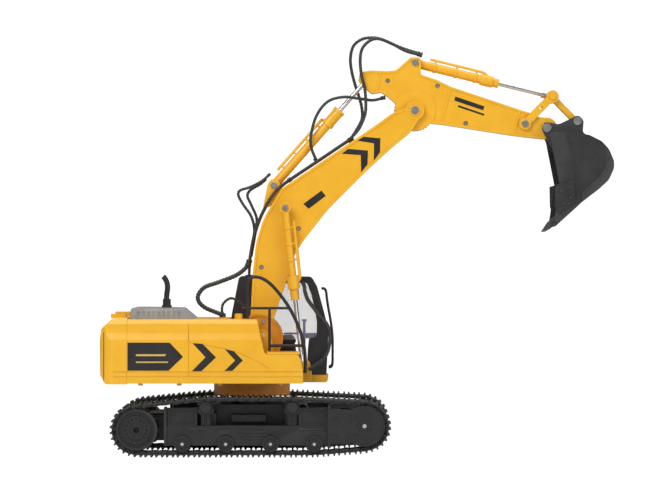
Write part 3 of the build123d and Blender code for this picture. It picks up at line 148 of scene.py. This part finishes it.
CLEAR = material("clear_plastic", dark=(0.80, 0.86, 0.88), light=(0.86, 0.90, 0.92),
                 rough=0.06, alpha=0.16, bump=0.02)
INK = material("printed_black", dark=(0.010, 0.009, 0.009), light=(0.016, 0.015, 0.015),
               rough=0.35, bump=0.04)
LENS = material("lamp_lens", dark=(0.80, 0.74, 0.62), light=(0.88, 0.82, 0.70),
                rough=0.16, coat=0.5)
GREEN = material("board_green", dark=(0.015, 0.12, 0.04), light=(0.03, 0.18, 0.07))
BATTERY = material("battery_wrap", dark=(0.02, 0.05, 0.16), light=(0.03, 0.07, 0.22), rough=0.3)
GOLD = material("printed_gold", dark=(0.55, 0.36, 0.10), light=(0.62, 0.42, 0.14), bump=0.03)
WHITE = material("floor_white", dark=(0.86, 0.86, 0.86), light=(0.88, 0.88, 0.88),
                 rough=0.7, bump=0.01)

# ---------------------------------------------------------------- finishes of the CAD pieces
PARTS = (
    (YELLOW, """turret_base house_shell step_plate counterweight boom_shell_right
        boom_shell_left stick_shell_right stick_shell_left boom_cylinder_barrels
        stick_cylinder_barrel bucket_cylinder_barrel rocker_links coupler_link"""),
    (BUCKET, "bucket bucket_hardware"),
    (GREY, "engine_vent_cover"),
    (STEEL, """boom_cylinder_rods stick_cylinder_rod bucket_cylinder_rod wheel_axles
        stick_hardware boom_hardware"""),
    (DARK_STEEL, "stick_gearmotor"),
    (CLEAR, "cab_windows"),
    (VIOLET, "cab_console"),
    (GREEN, "circuit_board"),
    (BATTERY, "battery_pack"),
)
PART_FINISH = {part: finish for finish, parts in PARTS for part in parts.split()}


def main_finish(part):
    if part.startswith("track_links"):
        return TRACK
    if part.endswith("gearmotors"):
        return DARK_STEEL
    return PART_FINISH.get(part, BLACK)


def second_finish(part, test, finish):
    """Second finish on the faces whose centre, in mm, passes the test."""
    data = NODES[part].data
    data.materials.append(finish)
    slot = len(data.materials) - 1
    for face in data.polygons:
        if test(face.center * 1000.0):
            face.material_index = slot


def in_boom_foot_disc(c):
    return (c.x - 7) ** 2 + (c.z - 114.6) ** 2 < 24.3 ** 2


def in_turret_underside(c):
    return c.z < 71.7 and c.x * c.x + c.y * c.y < 39 ** 2


def on_bucket_pin_head(c):
    pins = ((293.9, 324.1), (324.1, 330.8))  # x, z
    radius_squared = 30
    return abs(c.y) < 21 and any(
        (c.x - x) ** 2 + (c.z - z) ** 2 < radius_squared for x, z in pins)


def on_lever_stem(c):
    return c.y < 43 and c.z < 107


for part, node in NODES.items():
    node.data.materials.clear()
    node.data.materials.append(main_finish(part))
# painted shade: the boom foot disc and the turret underside get the darker copy of the yellow
for side, _ in SIDES:
    second_finish("boom_shell_" + side, in_boom_foot_disc, YELLOW_SHADE)
second_finish("turret_base", in_turret_underside, YELLOW_SHADE)
second_finish("bucket_hardware", on_bucket_pin_head, STEEL)
second_finish("cab_console", on_lever_stem, STEEL)


# ---------------------------------------------------------------- mesh helpers
def mesh(name, verts, faces, finish, smooth=False):
    """Object from points in mm."""
    data = bpy.data.meshes.new(name)
    data.from_pydata([tuple(c / 1000.0 for c in v) for v in verts], [], faces)
    data.update()
    made = bpy.data.objects.new(name, data)
    bpy.context.scene.collection.objects.link(made)
    data.materials.append(finish)
    if smooth:
        for face in data.polygons:
            face.use_smooth = True
    return made


def ring_quads(rings, sides, first=0):
    """Quads between successive rings of points, the first ring starting at index first."""
    return [(low + k, low + (k + 1) % sides, low + sides + (k + 1) % sides, low + sides + k)
            for low in range(first, first + (rings - 1) * sides, sides)
            for k in range(sides)]


def spline(points, step=0.45):
    """Evenly spaced points on a Catmull-Rom curve."""
    knots = [Vector(p) for p in points]
    knots = [knots[0] * 2 - knots[1]] + knots + [knots[-1] * 2 - knots[-2]]
    dense = []
    for i in range(1, len(knots) - 2):
        a, b, c, d = knots[i - 1:i + 3]
        for k in range(24):
            t = k / 24
            dense.append(0.5 * ((2 * b) + (c - a) * t + (2 * a - 5 * b + 4 * c - d) * t * t
                                + (3 * b - a - 3 * c + d) * t ** 3))
    dense.append(knots[-2])
    path, travelled = [dense[0]], 0.0
    for start, end in zip(dense, dense[1:]):
        travelled += (end - start).length
        if travelled >= step:
            path.append(end)
            travelled = 0.0
    return path


# ---------------------------------------------------------------- hoses
HOSE_SIDES = 14
PLAIN_END = 7        # rings without grooves at each end
RIB_RINGS = 4        # rings per rib, the first two of them grooved
GROOVE = 0.14        # groove depth over radius
TWIST = 0.10         # radians per ring of a ribbed hose
LOBES, LOBE_HEIGHT = 7, 0.05
PAIR_Y = 12.5        # the two hoses along the boom


def add_tube(verts, faces, points, radius, ribbed):
    path = spline(points)
    first, rings = len(verts), len(path)
    side_axis = Vector((0, 1, 0))
    for i, p in enumerate(path):
        along = (path[min(i + 1, rings - 1)] - path[max(i - 1, 0)]).normalized()
        u = side_axis - along * side_axis.dot(along)
        u.normalize()
        w = along.cross(u)
        grooved = ribbed and i % RIB_RINGS < 2 and PLAIN_END <= i < rings - PLAIN_END
        ring_radius = radius * (1.0 - GROOVE) if grooved else radius
        for k in range(HOSE_SIDES):
            a = 2 * math.pi * k / HOSE_SIDES + (TWIST * i if ribbed else 0.0)
            lobe = 1.0 + (LOBE_HEIGHT * math.cos(LOBES * a) if ribbed else 0.0)
            verts.append(p + (u * math.cos(a) + w * math.sin(a)) * ring_radius * lobe)
    faces += ring_quads(rings, HOSE_SIDES, first)
    faces.append(tuple(reversed(range(first, first + HOSE_SIDES))))
    faces.append(tuple(range(len(verts) - HOSE_SIDES, len(verts))))


def hoses(name, tubes, replaced):
    """One object of tubes (points, radius, ribbed) that takes the place of the hidden CAD piece
    replaced.
    """
    verts, faces = [], []
    for tube in tubes:
        add_tube(verts, faces, *tube)
    made = mesh(name, verts, faces, RUBBER, smooth=True)
    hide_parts(replaced)
    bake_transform(made)


def at_y(points, y):
    return [(x, y, z) for x, z in points]


# hose centre lines: x, z for those lying in a plane of constant y, else x, y, z
REAR_SWEEP = [
    (-3.6, 189.5), (-6.6, 184.2), (-15.7, 177.4), (-33.6, 170.3), (-47.0, 165.4),
    (-53.4, 157.5), (-52.4, 150.6), (-46.2, 145.0), (-37.5, 141.2), (-31.0, 138.6),
    (-27.4, 136.0)]
REAR_ARCH = [
    (-5.6, 145.5), (-9.8, 148.6), (-20.2, 154.4), (-28.2, 149.6), (-29.9, 142.5),
    (-28.2, 136.2)]
BOOM_RUN = [
    (-3.0, 188.6), (-2.3, 192.0), (-0.6, 203.0), (1.6, 214.0), (5.4, 227.0), (10.2, 239.0),
    (17.0, 251.4), (23.6, 260.8), (31.2, 268.0), (42.0, 275.6), (66.0, 291.6), (97.6, 312.8)]
LEFT_DROP = [(-2.7, 188.5), (-3.1, 178.0), (-3.4, 168.0), (-3.6, 158.0)]
STICK_LOOP_RIGHT = [
    (97.6, -12.5, 312.6), (99.0, -12.5, 314.2), (107.0, -13.6, 323.6), (112.6, -14.6, 336.6),
    (113.7, -15.0, 347.8), (112.6, -15.0, 363.4), (109.3, -15.0, 376.8),
    (108.1, -15.0, 392.4), (110.4, -14.0, 403.6), (118.2, -12.0, 411.4),
    (127.1, -10.0, 413.0), (140.5, -7.0, 408.0), (153.9, -4.0, 401.3), (168.5, -3.0, 397.4)]
STICK_LOOP_LEFT = [
    (97.6, 12.5, 312.6), (99.0, 12.5, 314.2), (108.0, 13.6, 329.0), (110.4, 14.4, 336.4),
    (109.7, 15.0, 346.6), (107.0, 15.0, 356.7), (103.7, 15.0, 366.8), (99.9, 15.0, 381.3),
    (98.5, 14.0, 394.7), (101.4, 12.5, 406.9), (109.3, 11.0, 413.6), (118.2, 10.0, 415.4),
    (129.3, 8.0, 413.9), (148.0, 5.0, 405.6), (169.0, 3.0, 398.4)]
STICK_LOOP_LOW = [
    (64.6, 291.4), (59.6, 304.0), (59.0, 316.6), (64.6, 336.6), (75.8, 350.6),
    (91.4, 355.2), (107.0, 353.6), (120.4, 352.0), (132.6, 354.6)]
BOOM_CYLINDER_LOOP = [
    (50.4, 170.6), (52.2, 166.6), (53.0, 161.0), (55.9, 152.8), (62.6, 143.7), (68.4, 136.2),
    (75.0, 127.9), (77.9, 119.6), (77.5, 108.0), (74.2, 98.0), (68.4, 91.4), (57.0, 83.6)]
STICK_CYLINDER_RIGHT = [
    (18.4, -3.5, 278.8), (16.6, -3.5, 277.2), (9.9, -3.2, 271.4), (-1.8, -3.0, 265.4),
    (-11.4, -3.0, 262.3), (-13.6, -3.0, 257.6), (-9.1, -3.0, 248.6), (-0.8, -3.0, 236.2),
    (2.4, -3.0, 222.8), (0.4, -3.0, 209.4), (-1.4, -3.0, 196.6), (-2.8, -3.0, 188.4)]
STICK_CYLINDER_LEFT = [
    (14.0, 3.5, 273.6), (8.0, 3.4, 268.4), (-1.6, 3.2, 262.6), (-4.6, 3.0, 256.6),
    (-0.6, 3.0, 247.3), (4.2, 3.0, 236.0), (4.4, 3.0, 227.0), (2.0, 3.0, 212.0),
    (-1.0, 3.0, 196.0)]

hoses("supply_hoses",
      [(at_y(REAR_SWEEP, -11.0), 2.3, True),
       (at_y(REAR_ARCH, -3.5), 1.4, True),
       (at_y(BOOM_RUN, -PAIR_Y), 1.45, False),
       (at_y(BOOM_RUN, PAIR_Y), 1.45, False),
       (at_y(LEFT_DROP, 11.5), 1.45, False)],
      "boom_hoses")
hoses("stick_loop_hoses",
      [(STICK_LOOP_RIGHT, 1.65, True),
       (STICK_LOOP_LEFT, 1.65, True),
       (at_y(STICK_LOOP_LOW, -9.0), 1.5, False)],
      "stick_hoses")
hoses("boom_cyl_loop_hoses",
      [(at_y(BOOM_CYLINDER_LOOP, sign * 26.0), 1.75, True) for _, sign in SIDES],
      "boom_cylinder_hoses")
hoses("stick_cyl_loop_hoses",
      [(STICK_CYLINDER_RIGHT, 1.5, True), (STICK_CYLINDER_LEFT, 1.5, True)],
      "stick_cylinder_hoses")


# ---------------------------------------------------------------- prints
def prints(name, outlines, y, body, finish=INK, thickness=0.12):
    """Thin raised plates, from x, z outlines, standing outward from the plane at y."""
    verts, faces = [], []
    outer = y + math.copysign(thickness, y)
    for outline in outlines:
        first, n = len(verts), len(outline)
        verts += at_y(outline, y) + at_y(outline, outer)
        faces += [tuple(range(first, first + n)), tuple(range(first + n, first + 2 * n))]
        faces += ring_quads(2, n, first)
    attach(mesh(name, verts, faces, finish), body)


def chevron(a, b, tip, c, d, notch):
    """Chevron split into two quads between tip and notch."""
    return [[a, b, tip, notch], [notch, tip, c, d]]


# outlines as x, z
ARROW = [(-120.2, 111.9), (-79.0, 111.9), (-65.8, 98.0), (-80.0, 84.4), (-120.2, 84.4)]
LARGE_CHEVRON = chevron((-56.3, 111.1), (-46.9, 110.9), (-33.6, 97.5), (-47.8, 83.9),
                        (-57.1, 83.9), notch=(-43.9, 97.6))
SMALL_CHEVRON = chevron((-24.9, 105.5), (-16.0, 103.4), (-7.3, 94.4), (-17.7, 84.2),
                        (-25.3, 84.2), notch=(-14.8, 94.4))
STRIPES = [[(-112.0, 100.5), (-82.0, 100.5), (-84.0, 98.6), (-112.0, 98.6)],
           [(-112.0, 93.4), (-80.0, 93.4), (-81.0, 92.0), (-112.0, 92.0)]]
BOOM_PRINTS = [
    *chevron((105.0, 311.4), (111.6, 315.2), (128.2, 313.8), (127.8, 300.0),
             (121.6, 291.2), notch=(121.8, 308.7)),
    *chevron((89.6, 298.4), (96.0, 303.2), (115.8, 301.6), (115.4, 288.0),
             (109.0, 279.8), notch=(108.6, 297.0)),
    [(51.4, 248.4), (69.6, 261.8), (73.8, 256.4), (56.9, 243.6)]]
STICK_PRINTS = [[(203.0, 355.6), (232.0, 345.8), (230.6, 341.8), (201.8, 351.6)],
                [(206.0, 347.0), (232.0, 338.2), (231.4, 336.4), (205.4, 345.2)]]

prints("side_print_right", [ARROW] + LARGE_CHEVRON + SMALL_CHEVRON, -75.02, "turret")
prints("side_print_left", [ARROW] + LARGE_CHEVRON, 75.02, "turret")
for side, sign in SIDES:
    prints("side_stripe_" + side, STRIPES, sign * 75.15, "turret", GOLD, thickness=0.06)
for side, sign in SIDES:
    prints("boom_print_" + side, BOOM_PRINTS, sign * 17.32, "boom")
    prints("stick_print_" + side, STICK_PRINTS, sign * 11.42, "stick")


# ---------------------------------------------------------------- lamp lens
def lamp_lens():
    """Dome bulging forward from the sloping house front."""
    x, y, z = 11.9, -42.0, 117.8
    radius, depth = 2.3, 1.6
    rings, sides = 7, 20
    verts = []
    for i in range(rings):
        rise = i / (rings - 1) * math.pi / 2
        for k in range(sides):
            a = 2 * math.pi * k / sides
            verts.append((x + depth * math.sin(rise),
                          y + radius * math.cos(rise) * math.cos(a),
                          z + radius * math.cos(rise) * math.sin(a)))
    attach(mesh("lamp_lens", verts, ring_quads(rings, sides), LENS, smooth=True), "turret")


lamp_lens()

# ---------------------------------------------------------------- hose collars
COLLAR_SIDES = 16
# two bands with a crimp between: place over length, radius over full radius
COLLAR_PROFILE = [(0, 0.8), (0.1, 1), (0.35, 1), (0.42, 0.86),
                  (0.58, 0.86), (0.65, 1), (0.9, 1), (1.0, 0.8)]


def collars(name, body, spots):
    """Collars at spots of (start, direction, radius, length)."""
    verts, faces = [], []
    rings = len(COLLAR_PROFILE)
    for start, direction, radius, length in spots:
        start, along = Vector(start), Vector(direction).normalized()
        u = along.orthogonal().normalized()
        w = along.cross(u)
        first = len(verts)
        for place, swell in COLLAR_PROFILE:
            for k in range(COLLAR_SIDES):
                a = 2 * math.pi * k / COLLAR_SIDES
                verts.append(start + along * (place * length)
                             + (u * math.cos(a) + w * math.sin(a)) * (radius * swell))
        faces += ring_quads(rings, COLLAR_SIDES, first)
        for low in (first, len(verts) - COLLAR_SIDES):
            faces.append(tuple(range(low, low + COLLAR_SIDES)))
    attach(mesh(name, verts, faces, BLACK, smooth=True), body)


collars("boom_hose_clamp", "boom", [
    ((96.0, -PAIR_Y, 311.4), (3, 0, 2), 2.4, 6.0),
    ((96.0, PAIR_Y, 311.4), (3, 0, 2), 2.4, 6.0),
    ((-2.2, -11, 193), (-0.6, 0, -3), 3.0, 7.0),
    ((36, -PAIR_Y, 271.6), (3, 0, 2), 2.1, 4),
    ((36, PAIR_Y, 271.6), (3, 0, 2), 2.1, 4),
    ((64.6, -9, 290.2), (-1, 0, 2.4), 2.1, 4.4)])
collars("stick_hose_port", "stick", [
    ((170.2, -3.0, 396.8), (-3, 0, 1.0), 2.3, 5.5),
    ((170.6, 3.0, 397.8), (-3, 0, 1.0), 2.3, 5.5),
    ((133.4, -9, 354.8), (-3, 0, -0.6), 2.1, 5.0)])
collars("deck_hose_port", "turret", [
    ((-27.2, -11, 135.5), (-1.5, 0, 1.4), 3.0, 4.6),
    ((-28.2, -3.5, 135.5), (0, 0, 1), 2.0, 4.0)])

# ---------------------------------------------------------------- stage
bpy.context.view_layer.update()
scene = bpy.context.scene


def studio_floor(half=9000):
    corners = [(-half, -half, 0), (half, -half, 0), (half, half, 0), (-half, half, 0)]
    floor = mesh("studio_floor", corners, [(0, 1, 2, 3)], WHITE)
    floor.visible_camera = False


def studio_world(lighting, seen):
    """White world whose strength differs for lighting and for the camera."""
    world = bpy.data.worlds.new("studio")
    scene.world = world
    world.use_nodes = True
    nodes, link = world.node_tree.nodes, world.node_tree.links.new
    background = nodes["Background"]
    set_inputs(background, Color=(1.0, 1.0, 1.0, 1))
    rays = nodes.new("ShaderNodeLightPath")
    strength = nodes.new("ShaderNodeMapRange")
    set_inputs(strength, To_Min=lighting, To_Max=seen)
    link(rays.outputs["Is Camera Ray"], strength.inputs["Value"])
    link(strength.outputs["Result"], background.inputs["Strength"])


def area_light(name, location, target, size, power):
    light = bpy.data.lights.new(name, "AREA")
    light.size = size
    light.energy = power
    lamp = bpy.data.objects.new(name, light)
    scene.collection.objects.link(lamp)
    lamp.location = location
    lamp.rotation_mode = "QUATERNION"
    lamp.rotation_quaternion = (Vector(target) - Vector(location)).to_track_quat("-Z", "Y")


def camera(location, lens):
    """Level camera looking along +Y, at the machine's right side."""
    data = bpy.data.cameras.new("cam")
    data.lens = lens
    data.sensor_width = 36
    data.clip_end = 200
    made = bpy.data.objects.new("cam", data)
    scene.collection.objects.link(made)
    made.location = location
    made.rotation_euler = (math.radians(90), 0, 0)
    scene.camera = made


studio_floor()
studio_world(lighting=0.30, seen=1.1)
scene.view_settings.view_transform = "Standard"
scene.view_settings.look = "None"
area_light("key", location=(-0.7, -1.6, 1.5), target=(0.05, 0, 0.2), size=1.2, power=26)
area_light("top", location=(0.2, 0.2, 1.8), target=(0.1, 0, 0.1), size=1.4, power=16)
area_light("fill", location=(1.5, -1.4, 0.6), target=(0.1, 0, 0.2), size=1.2, power=9)
camera(location=(0.081, -3.6, 0.2026), lens=194.6)
